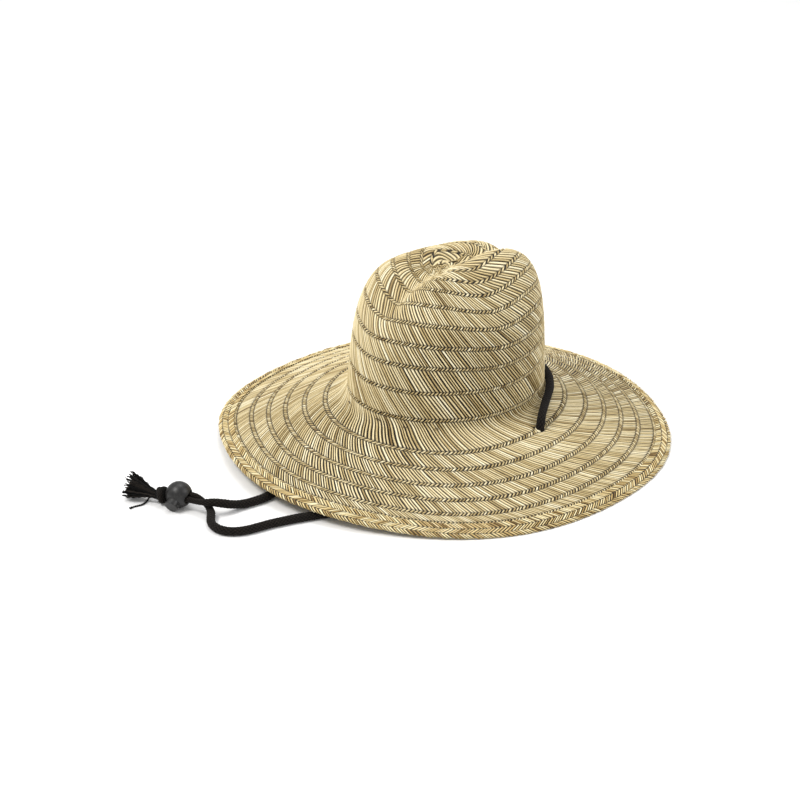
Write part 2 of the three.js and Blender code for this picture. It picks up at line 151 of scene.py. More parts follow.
# The folded tape's section: distance up the skin, and depth inside it.
BAND_SECTION = (
    (1.8, -2.8), (1.4, -3.3), (1.8, -3.9), (4.0, -4.1), (10, -4.0), (18, -3.9), (26, -4.0),
    (30.4, -4.15), (31.4, -3.7), (30.8, -3.0), (26, -2.75), (18, -2.7), (10, -2.7), (4, -2.75),
)

# ---------- the camera ----------
VIEW_AZIMUTH, VIEW_ELEVATION, VIEW_ROLL = 50.0, 27.0, 1.3
VIEW_DISTANCE = 2.4
VIEW_LENS = 109.0
VIEW_SHIFT = (-0.05625, 0.0375)

# ---------- the studio ----------
FLOOR_REACH = 9000.0
WORLD_STRENGTH = 0.7
LIT_POINT = Vector((0, 0, 0.08))
# Name, degrees round from the camera and up, distance and size in metres, watts, colour.
SOFTBOXES = (
    ("key", -62, 52, 2.2, 0.9, 27, (1, 0.985, 0.96)),
    ("fill", 75, 38, 2.4, 1.2, 14, (1, 1, 1)),
    ("top", 180, 70, 2.4, 1.4, 16, (1, 1, 1)),
)


def direction(azimuth, elevation):
    """The way from the hat to a camera or a light, in degrees round from -Y and up."""
    a, e = math.radians(azimuth), math.radians(elevation)
    return Vector((math.sin(a) * math.cos(e), -math.cos(a) * math.cos(e), math.sin(e)))


def add_camera():
    back = direction(VIEW_AZIMUTH, VIEW_ELEVATION)
    data = bpy.data.cameras.new("camera")
    data.lens = VIEW_LENS
    data.shift_x, data.shift_y = VIEW_SHIFT
    camera = bpy.data.objects.new("camera", data)
    roll = Matrix.Rotation(math.radians(VIEW_ROLL), 4, "Z").to_quaternion()
    camera.rotation_mode = "QUATERNION"
    camera.rotation_quaternion = back.to_track_quat("Z", "Y") @ roll
    camera.location = back * VIEW_DISTANCE
    bpy.context.collection.objects.link(camera)
    bpy.context.scene.camera = camera


# ---------- small helpers ----------
def smooth(low, high, value):
    q = np.clip((value - low) / (high - low), 0.0, 1.0)
    return q * q * (3 - 2 * q)


def away_from(degrees, middle):
    return (degrees - middle + 180) % 360 - 180


def near(degrees, middle, span):
    """1 at a middle direction, falling smoothly to 0 on both sides."""
    return np.exp(-((away_from(degrees, middle) / span) ** 2))


def oval(half_length, half_width, angle):
    """The radius of an ellipse in a direction; its length is along y."""
    apart = np.hypot(half_length * np.cos(angle), half_width * np.sin(angle))
    return half_length * half_width / apart


def waves(angle, seed, count=5, lowest=2):
    """A smooth random line round the hat, between about -1 and 1."""
    rng = np.random.default_rng(seed)
    total = np.zeros_like(angle)
    for k in range(count):
        phase, size = rng.uniform(0, TURN), rng.uniform(0.5, 1)
        total = total + size * np.sin((lowest + 2 * k) * angle + phase) / (1 + 0.6 * k)
    return total / 2


def circle(count):
    """Even angles once round."""
    return np.linspace(0, TURN, count, endpoint=False)


def vectors(*parts):
    """Numbers and arrays of matching shapes as one array, with the parts on its last axis."""
    return np.stack(np.broadcast_arrays(*parts), axis=-1)


def ring_faces(rings, sides, closed=False):
    """Faces from each ring of points to the next; closed joins the last ring to the first."""
    i = np.arange(sides)
    following = (i + 1) % sides
    low = np.arange(rings if closed else rings - 1)[:, None] * sides
    high = (low + sides) % (rings * sides)
    return vectors(low + i, low + following, high + following, high + i).reshape(-1, 4)


def capped_faces(rings, sides):
    """Faces of a closed bar, whose last two points are the middles of its ends."""
    first_middle, last = rings * sides, (rings - 1) * sides
    half = np.arange(0, sides, 2)
    after = (half + 2) % sides
    low = vectors(first_middle, after, half + 1, half)
    high = vectors(first_middle + 1, last + half, last + half + 1, last + after)
    return np.concatenate([ring_faces(rings, sides), low, high])


def mesh_piece(name, points, faces, material, values=None, corner_uv=None):
    """A smooth shaded object from points in millimetres and faces of equal corner count."""
    mesh = bpy.data.meshes.new(name)
    mesh.vertices.add(len(points))
    mesh.vertices.foreach_set("co", (points * MM).astype(np.float32).ravel())
    mesh.loops.add(faces.size)
    mesh.loops.foreach_set("vertex_index", faces.astype(np.int32).ravel())
    mesh.polygons.add(len(faces))
    starts = np.arange(0, faces.size, faces.shape[1], dtype=np.int32)
    mesh.polygons.foreach_set("loop_start", starts)
    mesh.polygons.foreach_set("use_smooth", np.ones(len(faces), dtype=bool))
    mesh.update(calc_edges=True)
    for key, value in (values or {}).items():
        kind, field = ("FLOAT", "value") if value.ndim == 1 else ("FLOAT_VECTOR", "vector")
        layer = mesh.attributes.new(key, kind, "POINT")
        layer.data.foreach_set(field, value.astype(np.float32).ravel())
    if corner_uv is not None:
        layer = mesh.uv_layers.new(name="OFBake")
        layer.data.foreach_set("uv", corner_uv.astype(np.float32).ravel())
    mesh.materials.append(material)
    piece = bpy.data.objects.new(name, mesh)
    bpy.context.collection.objects.link(piece)
    return piece


# ---------- the hat's skin ----------
def foot_radius(angle):
    return oval(FOOT_LENGTH, FOOT_WIDTH, angle)


def rim_radius(angle):
    ripple = RIM_RIPPLE * np.cos(RIM_RIPPLES * (angle - math.radians(RIM_RIPPLE_PHASE)))
    return oval(RIM_LENGTH, RIM_WIDTH, angle) + ripple


def rim_lift(angle):
    away = away_from(np.degrees(angle), LIFT_AT)
    return LIFT * np.exp(-np.abs(away / LIFT_SPAN) ** 3)


def brim_top(angle, f):
    """The brim's upper side, at a share of the way from the crown's foot to the rim."""
    radius = foot_radius(angle) + f * (rim_radius(angle) - foot_radius(angle))
    height = BRIM_RISE + (rim_lift(angle) - BRIM_RISE) * f + STRAW
    return vectors(radius * np.cos(angle), radius * np.sin(angle), height)


def press(x, y, z):
    """The creases that are pressed into the plain block of the crown."""
    up = z / CROWN_HEIGHT
    side = np.sign(x)
    z = z - FRONT_FALL * smooth(0.5, 1, up) * smooth(10, 95, -y)
    z = z - BACK_FALL * smooth(0.55, 1, up) * smooth(20, 95, y)
    z = z + TWIST * smooth(0.5, 1, up) * np.clip(y / 50, -1, 1) * np.clip(x / 40, -1, 1)
    reach = np.exp(-np.abs((y - DENT_Y) / DENT_LENGTH) ** 3)
    push = DENT * reach * smooth(0.45, 1, up) * smooth(0, 35, np.abs(x))
    x = x - side * np.minimum(np.abs(x), push)
    valley = np.exp(-((x / CREASE_WIDTH) ** 2)) * smooth(0.6, 0.97, up)
    valley = valley * (1 - 0.3 * smooth(30, 80, y)) * (1 + 0.2 * np.exp(-(((y + 35) / 25) ** 2)))
    return vectors(x, y, z - CREASE * valley)


def crown_top(angle, q):
    """The crown's outside: q runs from 0 at its foot to 1 at its tip."""
    back = (1 + np.sin(angle)) / 2
    power = FRONT_POWER + (BACK_POWER - FRONT_POWER) * back**1.5
    turn = np.clip(q * math.pi / 2, 0, math.pi / 2 - 1e-6)
    size = (np.cos(turn) ** power + np.sin(turn) ** power) ** (1 / power)
    out, up = np.cos(turn) / size, np.sin(turn) / size
    taper = 1 - (TAPER + FRONT_TAPER * (1 - back) ** 2) * up
    radius = out * taper * foot_radius(angle)
    block = press(radius * np.cos(angle), radius * np.sin(angle), up * CROWN_HEIGHT)
    return block + np.array([0, 0, BRIM_RISE])


class Skin:
    """The outside of the hat, sampled at every half degree and every millimetre."""

    COLUMNS = 720

    def __init__(self):
        self.angles = circle(self.COLUMNS)
        brim_rows, crown_rows = int(BRIM_REACH), int(CROWN_REACH)
        out = np.linspace(1, 0, brim_rows + 1)[:-1]
        brim = np.stack([brim_top(self.angles, f) for f in out])
        start = STRAW / CROWN_HEIGHT * 2 / math.pi
        crown = np.stack([crown_top(self.angles, q) for q in np.linspace(start, 1, 600)])
        steps = np.linalg.norm(np.diff(crown, axis=0), axis=2)
        along = np.concatenate([np.zeros((1, self.COLUMNS)), np.cumsum(steps, axis=0)])
        even = np.empty((crown_rows + 1, self.COLUMNS, 3))
        for i in range(self.COLUMNS):
            wanted = np.linspace(0, along[-1, i], crown_rows + 1)
            for k in range(3):
                even[:, i, k] = np.interp(wanted, along[:, i], crown[:, i, k])
        self.points = np.concatenate([brim, even])
        self.round_the_foot(brim_rows)
        self.normals = self.find_normals()

    def round_the_foot(self, foot_row):
        reach = FOOT_CURVE + FOOT_FLARE * near(np.degrees(self.angles), FLARE_AT, FLARE_SPAN)
        away = np.abs(np.arange(len(self.points)) - foot_row)[:, None] / reach
        bend = reach * (0.5 * np.clip(1 - away, 0, 1)) ** 2
        outward = vectors(np.cos(self.angles), np.sin(self.angles))
        self.points[:, :, :2] += bend[..., None] * outward
        self.points[:, :, 2] += 0.65 * bend

    def find_normals(self):
        around = np.roll(self.points, -1, axis=1) - np.roll(self.points, 1, axis=1)
        along = np.gradient(self.points, axis=0)
        normals = np.cross(around, along)
        for row in (-3, -2, -1):
            normals[row] = normals[-4]
        size = np.linalg.norm(normals, axis=2, keepdims=True)
        return normals / np.maximum(size, 1e-9)

    def at(self, angle, distance, lift):
        column = (angle % TURN) / TURN * self.COLUMNS
        row = np.clip(distance + BRIM_REACH, 0, len(self.points) - 1.001)
        i0 = np.floor(column).astype(int) % self.COLUMNS
        j0 = np.floor(row).astype(int)
        i1 = (i0 + 1) % self.COLUMNS
        a = (column - np.floor(column))[..., None]
        b = (row - j0)[..., None]

        def blend(table):
            low = table[j0, i0] * (1 - a) + table[j0, i1] * a
            high = table[j0 + 1, i0] * (1 - a) + table[j0 + 1, i1] * a
            return low * (1 - b) + high * b

        return blend(self.points) + blend(self.normals) * lift[..., None]

    def radius(self, distance):
        ring = self.points[int(round(distance + BRIM_REACH))]
        return float(np.hypot(ring[:, 0], ring[:, 1]).mean())


# ---------- weaving ----------
class Shell:
    """Closed strips of weave, gathered into one mesh with its bake layout."""

    def __init__(self):
        self.points, self.faces, self.grids = [], [], []
        self.values = {"tone": [], "painted_shade": [], "weave": []}
        self.count = 0

    def add_points(self, points, tone, painted_shade, weave):
        """Adds a grid of points with their attributes, and gives the first one's number."""
        first, shape = self.count, points.shape[:2]
        self.points.append(points.reshape(-1, 3))
        self.values["tone"].append(np.broadcast_to(tone, shape).ravel())
        self.values["painted_shade"].append(np.broadcast_to(painted_shade, shape).ravel())
        self.values["weave"].append(weave.reshape(-1, 3))
        self.count += shape[0] * shape[1]
        return first

    def add_grid(self, low_index, high_index, low_t, high_t, length, height):
        """One row of faces between two rows of vertex numbers; t places it in its chart."""
        low_next, high_next = np.roll(low_index, -1), np.roll(high_index, -1)
        self.faces.append(np.stack([low_index, low_next, high_next, high_index], axis=1))
        self.grids.append((len(low_index), low_t, high_t, length, height))

    def bake_layout(self):
        """Charts are cut into lengths that fit the square, and stacked."""
        charts, total = [], 0.0
        for columns, low_t, high_t, length, height in self.grids:
            strip = max((high_t - low_t) * height, NARROWEST_CHART)
            charts.append((columns, strip, length))
            total += strip * length
        side = math.sqrt(total)
        rows = [math.ceil(length / side) for _, _, length in charts]
        full = sum(count * strip for count, (_, strip, _) in zip(rows, charts))
        layouts, base = [], 0.0
        for count, (columns, strip, _) in zip(rows, charts):
            per_row = math.ceil(columns / count)
            i = np.arange(columns)
            chunk = i // per_row
            left = (i - chunk * per_row) / per_row
            right = left + 1 / per_row
            low = (base + chunk * strip) / full
            high = low + strip / full
            corners = vectors(left, low, right, low, right, high, left, high)
            layouts.append(corners.reshape(-1, 4, 2))
            base += count * strip
        return np.concatenate(layouts)

    def piece(self, name, material):
        values = {key: np.concatenate(parts) for key, parts in self.values.items()}
        points = part_round_cords(np.concatenate(self.points))
        faces = np.concatenate(self.faces)
        return mesh_piece(name, points, faces, material, values, self.bake_layout())


def part_round_cords(points):
    """The straw is pushed aside where the cord goes through the brim."""
    for centre in CORD_HOLES:
        offset = points[:, :2] - np.array(centre)
        distance = np.linalg.norm(offset, axis=1)
        close = (distance < PARTED_REACH) & (points[:, 2] < PARTED_BELOW)
        distance = distance[close]
        spread = PARTED_HOLE + distance * (PARTED_REACH - PARTED_HOLE) / PARTED_REACH
        points[close, :2] += offset[close] * (spread / np.maximum(distance, 1e-6) - 1)[:, None]
    return points


def openness(angle, distance):
    """How far the strands stand apart, 0 to 1: the straw has spread in some places, and there the
    gaps sink deeper and take darker painted shade.
    """
    degrees = np.degrees(angle)
    crown = smooth(0, 14, distance)
    patchy = 0.14 * waves(angle, 7) + 0.08 * np.sin(distance / 17 + 3 * np.sin(angle * 2))
    tops = 1 - 0.8 * smooth(95, 140, distance)
    on_crown = 0.5 + 0.65 * near(degrees, -8, 48) * tops - 0.34 * near(degrees, -118, 34)
    across = smooth(-132, -112, distance) * smooth(-5, -20, distance)
    on_brim = 0.78 + 0.4 * near(degrees, -105, 42) * across - 0.25 * near(degrees, 0, 30)
    on_brim = on_brim + 0.25 * near(degrees, 52, 26)
    return np.clip(crown * on_crown + (1 - crown) * on_brim + patchy, 0.08, 1)


def strand_starts(count, rng, spread=0.22):
    widths = 1 + spread * rng.uniform(-1, 1, count)
    starts = np.cumsum(widths) - widths
    columns = starts[:, None] + widths[:, None] * ACROSS
    return columns.ravel() * TURN / widths.sum()


def gap_shade(edge, spread):
    """Painted shade in the space beside a strand: wide and black where the strands stand apart."""
    closed = 0.7 * (1 - spread)
    return np.clip((edge - closed) / (1 - closed), 0, 1) * (0.62 + 0.42 * spread)


def strand_weave(count, along, field):
    """Where each point lies on the straw's fibres: across, along, and in a field of its own."""
    across = np.repeat(np.arange(count) * STRAND_OFF, len(ACROSS)) + np.tile(ACROSS, count) * PITCH
    return vectors(across, along, field)


def tones_with_painted_light(tone, crest):
    """Painted highlight: a strand is paler on its crest, and painted shade darkens it down its
    sides.
    """
    return np.clip(tone + CREST_HIGHLIGHT * (crest - 0.75), 0, 1)


def woven_strip(shell, skin, low, high, base, slant, seed, rows=OUTER_ROWS, inner_rows=INNER_ROWS):
    """A closed ring of parallel strands between two lines round the hat.

    low and high give the distance of each line at an angle, and base the angles of the
    points across the strands at the low line. A positive slant turns the strands
    anticlockwise, seen from above, on their way down. The inside slants the other way.
    """
    rng = np.random.default_rng(seed)
    columns = len(base)
    count = columns // len(ACROSS)
    height = float(np.mean(high(skin.angles) - low(skin.angles)))
    shift = column_shift(skin, low, high, columns, slant)
    ease = min(1.5, 0.3 * height)
    floats = rows is SHORT_ROWS

    def per_strand(values):
        return np.repeat(values, len(ACROSS))

    def risen(t):
        """0 at the ends, where a strand dives under the next strip, and 1 between them."""
        return smooth(0, ease, t * height) * smooth(0, ease, (1 - t) * height)

    # random tone for each strand; rows of short floats start darker, as painted shade between the
    # bands
    tone = per_strand(rng.normal(0.4 if floats else 0.52, 0.17, count))
    proud = per_strand(rng.uniform(-1, 1, count))
    open_gap = per_strand(rng.uniform(0.15, 1, count))
    wobble = per_strand(rng.uniform(-1, 1, count) * 0.12 * TURN / count)
    crest, edge = np.tile(CREST, count), np.tile(EDGE, count)
    # painted highlight on each strand's crest, painted shade down its sides
    tones = tones_with_painted_light(tone, crest)

    t = rows[:, None]
    angle = base + shift * TURN / columns * t + wobble * np.sin(math.pi * t)
    distance = low(angle) * (1 - t) + high(angle) * t
    rise = risen(t)
    spread = openness(angle, distance) * (0.55 + 0.75 * open_gap)
    # short floats get deeper gaps, with wider painted shade in them
    spread = np.clip(spread + 0.35 * floats, 0, 1)
    lift = 0.3 + 0.12 * proud - STRAND_DEPTH * (1 - crest) - 0.8 * edge**3 * spread
    lift = OUTER_TUCK + (lift - OUTER_TUCK) * rise
    # painted shade: black in the gaps, and at the ends where the strands dive under the next strip
    at_ends = np.clip(spread + 0.3 * (1 - rise), 0, 1)
    shade = np.maximum(gap_shade(edge, at_ends), (0.35 + 0.5 * spread) * (1 - rise))
    weave = strand_weave(count, t * height, float(seed))
    outer = shell.add_points(skin.at(angle, distance, lift), tones, shade, weave)

    s = inner_rows[:, None]
    far = np.roll(angle[-1], 2 * shift)
    far = far + TURN * np.round((base - shift * TURN / columns - far) / TURN)
    angle = base * (1 - s) + far * s
    distance = low(angle) * (1 - s) + high(angle) * s
    rise = risen(s)
    lift = 0.9 * STRAND_DEPTH * (1 - crest) - STRAW - 0.1
    lift = INNER_TUCK + (lift - INNER_TUCK) * rise
    # painted shade on the inside too, in the gaps and at the ends
    shade = np.maximum(gap_shade(edge, 0.5 + 0.4 * open_gap), 0.5 * (1 - rise))
    weave = strand_weave(count, s * height, seed + 0.5)
    inner = shell.add_points(skin.at(angle, distance, lift), tones, shade, weave)

    i = np.arange(columns)
    chart = TURN * strip_radius(skin, low, high), height
    for j in range(len(rows) - 1):
        below = outer + j * columns + i
        shell.add_grid(below, below + columns, rows[j], rows[j + 1], *chart)
    for j in range(len(inner_rows) - 1, 0, -1):
        above = inner + j * columns + i
        shell.add_grid(above, above - columns, inner_rows[j - 1], inner_rows[j], *chart)
    shell.add_grid(inner + i, outer + i, 0, 0, *chart)
    last_outer = outer + (len(rows) - 1) * columns + (i - 2 * shift) % columns
    last_inner = inner + (len(inner_rows) - 1) * columns + i
    shell.add_grid(last_outer, last_inner, 0, 0, *chart)


def strip_radius(skin, low, high):
    middle = float(np.mean(low(skin.angles) + high(skin.angles)) / 2)
    return max(skin.radius(middle), TIGHTEST_STRIP)


def column_shift(skin, low, high, columns, slant):
    """How many points round the hat a strand moves from the low line to the high one."""
    height = float(np.mean(high(skin.angles) - low(skin.angles)))
    wanted = math.tan(math.radians(slant)) * height / strip_radius(skin, low, high) / TURN * columns
    half = len(ACROSS) // 2
    return -half * int(round(wanted / half))


def crown_line(share, seed):
    """A row of the crown, at a share of the way from its foot to its tip."""
    tilt = RING_TILT * float(smooth(0.1, 0.35, share) * (1 - smooth(0.75, 1, share)))

    def line(angle):
        climb = 1 + tilt * np.cos(angle - math.radians(RING_TILT_AT))
        return share * CROWN_REACH * climb + 0.5 * waves(angle, seed)

    return line


def brim_line(share, seed):
    """A row of the brim, at a share of the way from the crown's foot to the rim."""

    def line(angle):
        bulge = RING_BULGE * np.maximum(np.cos(angle - math.radians(RING_BULGE_AT)), 0) ** 1.5
        return -(share + bulge) * BRIM_REACH + 0.5 * waves(angle, seed)

    return line


def moved(line, by):
    return lambda angle: line(angle) + by


def build_straw(skin, straw):
    """Bands of long strands, and between them rows of short floats that slant back."""
    edge, tip = -RIM_START * BRIM_REACH, CROWN_REACH - 0.3
    rings = [lambda angle: np.full_like(angle, edge)]
    rings += [brim_line(share, 100 + k) for k, share in enumerate(BRIM_RINGS)]
    rings += [crown_line(share, 110 + k) for k, share in enumerate(CROWN_RINGS)]
    tops = rings[1:] + [lambda angle: np.full_like(angle, tip)]
    half = RING_WIDTH / 2
    groups = {
        "straw_brim_outer": (0, 3), "straw_brim_inner": (3, 6), "straw_crown_foot": (6, 9),
        "straw_crown_middle": (9, 13), "straw_crown_top": (13, len(rings)),
    }
    for name, (first, last) in groups.items():
        shell = Shell()
        for k in range(first, last):
            ring, start, end = rings[k], moved(rings[k], half - 0.3), moved(tops[k], 0.3 - half)
            if k + 1 == len(rings):
                end = tops[k]
            rng = np.random.default_rng(500 + k)
            count = max(int(TURN * strip_radius(skin, start, end) / PITCH), 10)
            base = strand_starts(count, rng) + rng.uniform(0, TURN)
            slant = BRIM_SLANT if k < len(BRIM_RINGS) else CROWN_SLANT
            folded = (FOLD_ROWS, FOLD_ROWS) if k == len(BRIM_RINGS) else (OUTER_ROWS, INNER_ROWS)
            woven_strip(shell, skin, start, end, base, slant, 1000 + k, *folded)
            low, high = moved(ring, -half), moved(ring, half)
            turned_back = column_shift(skin, low, high, len(base), -RING_SLANT) * TURN / len(base)
            base = base - turned_back
            woven_strip(shell, skin, low, high, base, -RING_SLANT, 2000 + k, SHORT_ROWS)
        piece = shell.piece(name, straw)
        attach(piece, "hat")
        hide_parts("brim" if "brim" in name else "crown")


# ---------- the plaited rim ----------
def rim_section(angle, w):
    """A closed line round the rim's section: w runs 0 to 1 from the inner edge over the top."""
    out, foot, lift = rim_radius(angle), foot_radius(angle), rim_lift(angle)
    start = foot + RIM_START * (out - foot)
    slope = (BRIM_RISE - lift) / (out - foot)

    def on_top(share, radius):
        return share, radius, lift + STRAW + 0.6 + slope * (out - radius)

    section = (
        on_top(0.0, start), on_top(0.20, start + 0.45 * (out - start)), on_top(0.38, out - 3.2),
        (0.46, out - 0.9, lift + 2.6), (0.50, out, lift + 1.6), (0.54, out - 0.9, lift + 0.6),
        (0.70, out - 4, lift + 0.15), (0.97, start, lift + slope * (out - start) - 0.1),
        (1.0, start, on_top(1.0, start)[2] - 1.5),
    )
    r, z = np.zeros_like(angle), np.zeros_like(angle)
    for (w0, r0, z0), (w1, r1, z1) in zip(section, section[1:]):
        inside = (w >= w0) & (w <= w1)
        q = (w - w0) / (w1 - w0)
        r = np.where(inside, r0 * (1 - q) + r1 * q, r)
        z = np.where(inside, z0 * (1 - q) + z1 * q, z)
    return vectors(r * np.cos(angle), r * np.sin(angle), z)


# Strips of strands round the section: from, to, and which way they lean. The last is hidden.
RIM_STRIPS = (
    (0.0, 0.18, 1), (0.18, 0.36, -1), (0.36, 0.56, 1), (0.56, 0.76, -1), (0.76, 0.97, 1),
    (0.97, 1.0, 0),
)


def build_rim(straw):
    """Rows of slanted strands that turn back on each other, wrapped over the brim's edge."""
    rng = np.random.default_rng(31)
    shell = Shell()
    columns = RIM_STRANDS * len(ACROSS)
    base = strand_starts(RIM_STRANDS, rng, 0.3)
    strand = np.repeat(np.arange(RIM_STRANDS), len(ACROSS))
    crest, edge = np.tile(CREST, RIM_STRANDS), np.tile(EDGE, RIM_STRANDS)
    turned = 0
    w_rows, shifts, rises, strips = [], [], [], []
    for number, (w0, w1, way) in enumerate(RIM_STRIPS):
        for t in RIM_ROWS if way else RIM_ROWS[:1]:
            w_rows.append(w0 + (w1 - w0) * t)
            shifts.append(turned + way * RIM_LEAN * t)
            rises.append(0.0 if t == 0 else 1.0)
            strips.append(number)
        turned += way * RIM_LEAN
    w, rise = np.array(w_rows)[:, None], np.array(rises)[:, None]
    angle = base + np.array(shifts)[:, None] * TURN / columns

    def per_strand(values):
        return values[strips][:, strand]

    each = len(RIM_STRIPS), RIM_STRANDS
    # painted highlight on each strand's crest, painted shade down its sides
    tones = tones_with_painted_light(per_strand(rng.normal(0.52, 0.24, each)), crest)
    proud = per_strand(rng.uniform(-1, 1, each))
    gaps = per_strand(rng.uniform(0.5, 1, each))
    lift = 0.35 + 0.35 * proud - 0.9 * (1 - crest) - 0.6 * edge * gaps
    lift = lift * rise - 0.75 * (1 - rise) * gaps
    section, after, before = (rim_section(angle, (w + by) % 1.0) for by in (0, 0.01, -0.01))
    around = vectors(-np.sin(angle), np.cos(angle), 0)
    normal = np.cross(after - before, around)
    normal /= np.maximum(np.linalg.norm(normal, axis=2, keepdims=True), 1e-9)
    points = section + normal * lift[..., None]
    points[..., 2] = np.maximum(points[..., 2], 0.05)
    # painted shade in the gaps and where the strands dive under
    shade = np.clip(np.maximum(gap_shade(edge, gaps), (1 - rise) * gaps), 0, 1)
    weave = strand_weave(RIM_STRANDS, w * 40, np.array(strips)[:, None] + 50.0)
    first = shell.add_points(points, tones, shade, weave)

    i = np.arange(columns)
    ends = w_rows[1:] + [1.0]
    for j, (w0, w1) in enumerate(zip(w_rows, ends)):
        # the lean that is left over when the section closes is taken back in the last strip
        last = j + 1 == len(w_rows)
        upper = first + (i + turned) % columns if last else first + (j + 1) * columns + i
        shell.add_grid(upper, first + j * columns + i, w0, w1, *RIM_CHART)
    piece = shell.piece("straw_rim_plait", straw)
    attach(piece, "hat")
    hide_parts("rim_braid")


# ---------- cords ----------
def blended(t, low, high, a, b):
    return (high - t) / (high - low) * a + (t - low) / (high - low) * b


def smooth_line(points, step):
    """Centripetal Catmull-Rom line through the points, as even points about step apart."""
    p = np.array(points, dtype=float)
    p = np.vstack([2 * p[0] - p[1], p, 2 * p[-1] - p[-2]])
    dense = []
    for k in range(1, len(p) - 2):
        level = list(p[k - 1 : k + 3])
        knots = [0.0]
        for here, there in zip(level, level[1:]):
            knots.append(knots[-1] + np.linalg.norm(there - here) ** 0.5)
        t = np.linspace(knots[1], knots[2], 24, endpoint=False)[:, None]
        for spans in (((0, 1), (1, 2), (2, 3)), ((0, 2), (1, 3)), ((1, 2),)):
            pairs = zip(spans, level, level[1:])
            level = [blended(t, knots[low], knots[high], a, b) for (low, high), a, b in pairs]
        dense += level
    dense.append(p[-2:-1])
    line = np.concatenate(dense)
    along = np.concatenate([[0], np.cumsum(np.linalg.norm(np.diff(line, axis=0), axis=1))])
    even = np.linspace(0, along[-1], max(int(along[-1] / step), 2) + 1)
    return vectors(*(np.interp(even, along, line[:, k]) for k in range(3))), even


def frames_along(line):
    """Two directions across the line at each point, turning as little as possible."""
    tangent = np.gradient(line, axis=0)
    tangent /= np.linalg.norm(tangent, axis=1, keepdims=True)
    first = np.cross(tangent[0], [0, 0, 1.0])
    if np.linalg.norm(first) < 0.1:
        first = np.cross(tangent[0], [1.0, 0, 0])
    side = np.empty_like(line)
    side[0] = first / np.linalg.norm(first)
    for k in range(1, len(line)):
        turned = side[k - 1] - tangent[k] * np.dot(side[k - 1], tangent[k])
        side[k] = turned / np.linalg.norm(turned)
    return side, np.cross(tangent, side)


def tube(line, radius, sides):
    """Points and faces of a closed tube. radius broadcasts to one number for each point."""
    side, up = frames_along(line)
    turn = circle(sides)[None, :, None]
    around = np.cos(turn) * side[:, None] + np.sin(turn) * up[:, None]
    rings = line[:, None] + around * np.broadcast_to(radius, (len(line), sides))[..., None]
    points = np.concatenate([rings.reshape(-1, 3), line[:1], line[-1:]])
    return points, capped_faces(len(line), sides)


def yarn(line, radius, sides, relief):
    """A plain round yarn as points, faces and relief, with a radius for each point of its line."""
    points, faces = tube(line, radius[:, None], sides)
    return points, faces, np.full(len(points), relief)


def braid_relief(turn, along, lay):
    """Height of a tubular braid, 0 to 1: its strands cross each other over and under."""
    a = BRAID_STRANDS * turn / TURN + along / lay
    b = BRAID_STRANDS * turn / TURN - along / lay
    over = (np.floor(a) + np.floor(b)) % 2 > 0.5
    across = np.where(over, a - np.floor(a), b - np.floor(b))
    lengthwise = np.where(over, b - np.floor(b), a - np.floor(a))
    rounded = np.sqrt(np.clip(1 - (2 * across - 1) ** 2, 0, 1))
    return rounded * (0.72 + 0.28 * np.sin(math.pi * lengthwise))


def build_cord(name, route, radius_at, material, replaced, seed):
    """A braided cord along a route, with the points of its path and its length."""
    line, along = smooth_line(route, CORD_STEP)
    turn = circle(CORD_SIDES)
    relief = braid_relief(turn, along[:, None], CORD_LAY)
    rng = np.random.default_rng(seed)
    uneven = np.interp(along, np.linspace(0, along[-1], 40), rng.uniform(-1, 1, 40))
    fuzz = rng.uniform(-1, 1, relief.shape) * 0.14
    radius = radius_at(along)[:, None] * (0.8 + 0.2 * relief + 0.03 * uneven[:, None]) + fuzz
    points, faces = tube(line, radius, CORD_SIDES)
    points[:, 2] = np.maximum(points[:, 2], LOWEST_FIBRE)
    weave = vectors(turn * 4, along[:, None], float(seed)).reshape(-1, 3)
    # relief shapes the braid, and in the material gives it painted highlight and shade
    values = {
        "relief": np.append(relief, [0.5, 0.5]),
        "weave": np.concatenate([weave, [(0, 0, seed)] * 2]),
    }
    piece = mesh_piece(name, points, faces, material, values)
    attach(piece, "hat")
    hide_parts(replaced)
    return piece, np.concatenate([line[:-1:8], line[-1:]]), float(along[-1])


def full_cord_radius(along):
    return np.full_like(along, CORD_RADIUS)


def free_cord_radius(along):
    return CORD_PINCHED + (CORD_RADIUS - CORD_PINCHED) * smooth(SWELL_FROM, SWELL_TO, along)


# ---------- the lock, the knot and the tassel ----------
def lock_matrix():
    along = Vector((math.cos(LOCK_HEADING), math.sin(LOCK_HEADING), 0))
    button = Vector((along.y, -along.x, 0)) * math.cos(LOCK_TILT)
    button.z = -math.sin(LOCK_TILT)
    third = along.cross(button)
    turn = Matrix((along, button, third)).transposed().to_4x4()
    return Matrix.Translation(LOCK_CENTRE) @ turn


LOCK = np.array(lock_matrix())


def from_lock(points):
    """Points in the lock's own frame, x along the cords and y out through the button."""
    return points @ LOCK[:3, :3].T + LOCK[:3, 3]


def through_lock(side):
    """The straight stretch of a cord in the lock: side is 1 nearer the button's end, or -1."""
    stretch = from_lock(vectors(THROUGH_LOCK, side * STRAND_OFFSET, 0))
    return [tuple(point) for point in stretch]


def towards(origin, aim):
    """A frame at origin: x towards aim, y level, z upwards. It returns a point mover."""
    x = np.array((aim - origin).normalized())
    y = np.cross([0, 0, 1.0], x)
    y /= np.linalg.norm(y)
    turn = np.stack([x, y, np.cross(x, y)], axis=1)
    return lambda points: points @ turn.T + np.array(origin)


def lathe(profile, sides):
    """A closed solid of revolution about y, from points (radius, y)."""
    radius, y = np.array(profile, dtype=float).T[:, :, None]
    turn = circle(sides)
    rings = vectors(radius * np.cos(turn), y, radius * -np.sin(turn))
    return rings.reshape(-1, 3), ring_faces(len(profile), sides)


